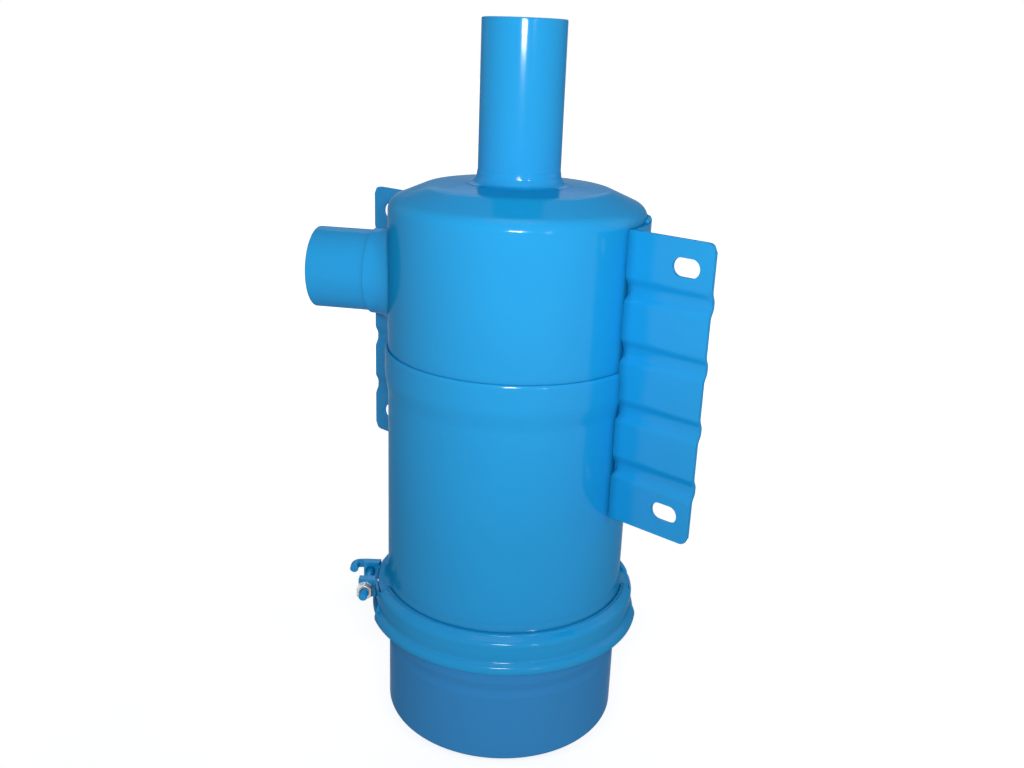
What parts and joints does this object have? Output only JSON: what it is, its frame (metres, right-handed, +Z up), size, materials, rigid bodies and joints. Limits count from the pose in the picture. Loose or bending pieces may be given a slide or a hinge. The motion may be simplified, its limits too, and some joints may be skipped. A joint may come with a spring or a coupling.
{
  "type": "oil bath air cleaner",
  "caption": "Cylindrical sheet-steel air cleaner with a straight intake pipe on top, a side outlet, a winged mounting bracket, and an oil cup held by a band clamp.",
  "frame": {"origin": "middle of the oil cup's flat underside, on the vessel's axis", "axes": "+Z up the vessel's axis towards the intake pipe's mouth, X along the bracket's wings, -Y the way the wings' flat mounting faces look"},
  "size_m": [0.274, 0.1848, 0.4585],
  "materials": {
    "light_enamel": "high-gloss enamel",
    "clamp_enamel": "gloss enamel",
    "cup_enamel": "gloss enamel, a deeper blue",
    "inner_steel": "plain sheet steel",
    "wire_gauze": "knitted wire",
    "zinc": "zinc plated",
    "rubber": "matt"
  },
  "bodies": {
    "head": {"intake_pipe": "light_enamel", "intake_collar": "light_enamel", "centre_tube": "inner_steel", "head_shell": "light_enamel", "outlet_pipe": "light_enamel", "outlet_collar": "light_enamel", "body_shell": "light_enamel", "bracket": "light_enamel", "bracket_welds": "light_enamel", "upper_screen": "inner_steel", "gauze_pack": "wire_gauze", "lower_screen": "inner_steel", "screen_ring": "inner_steel", "cup_gasket": "rubber"},
    "element": {"element_can": "inner_steel", "element_sleeve": "inner_steel", "element_floor_screen": "inner_steel", "element_gauze": "wire_gauze", "element_top_screen": "inner_steel"},
    "oil_cup": {"oil_cup": "cup_enamel"},
    "inner_cup": {"inner_cup": "inner_steel"},
    "clamp_front": {"clamp_band_front": "clamp_enamel", "clamp_lug_front": "clamp_enamel", "lug_weld_front": "clamp_enamel"},
    "clamp_rear": {"clamp_band_rear": "clamp_enamel", "clamp_lug_rear": "clamp_enamel", "lug_weld_rear": "clamp_enamel", "hook_bolt": "clamp_enamel"},
    "clamp_washer": {"clamp_washer": "zinc"},
    "clamp_nut": {"clamp_nut": "zinc"}
  },
  "joints": [
    {"name": "cup_drop", "type": "slide", "parent": "head", "child": "oil_cup", "axis": [0, 0, -1], "range_m": [0, 0.11]},
    {"name": "element_drop", "type": "slide", "parent": "head", "child": "element", "axis": [0, 0, -1], "range_m": [0, 0.05]},
    {"name": "inner_cup_lift", "type": "slide", "parent": "oil_cup", "child": "inner_cup", "axis": [0, 0, 1], "range_m": [0, 0.028]},
    {"name": "front_swing", "type": "hinge", "parent": "head", "child": "clamp_front", "pos_m": [0.06795, 0.05702, 0.0863], "axis": [0, 0, 1], "range_deg": [0, 0.79]},
    {"name": "rear_swing", "type": "hinge", "parent": "head", "child": "clamp_rear", "pos_m": [0.06795, 0.05702, 0.0863], "axis": [0, 0, -1], "range_deg": [0, 0.7819]},
    {"name": "washer_travel", "type": "slide", "parent": "clamp_rear", "child": "clamp_washer", "axis": [0.6428, -0.766, 0], "range_m": [0, 0.0081]},
    {"name": "nut_turn", "type": "hinge", "parent": "clamp_washer", "child": "clamp_nut", "pos_m": [-0.06011, -0.07537, 0.0863], "axis": [0.6428, -0.766, 0], "range_deg": [0, 2890]}
  ],
  "couplings": [
    {"joint": "element_drop", "follows": "cup_drop", "ratio": 0.45},
    {"joint": "inner_cup_lift", "follows": "cup_drop", "ratio": 0.25},
    {"joint": "front_swing", "follows": "rear_swing", "ratio": 1},
    {"joint": "washer_travel", "follows": "rear_swing", "m_per_rad": 0.58622},
    {"joint": "nut_turn", "follows": "rear_swing", "ratio": 3683.3}
  ]
}
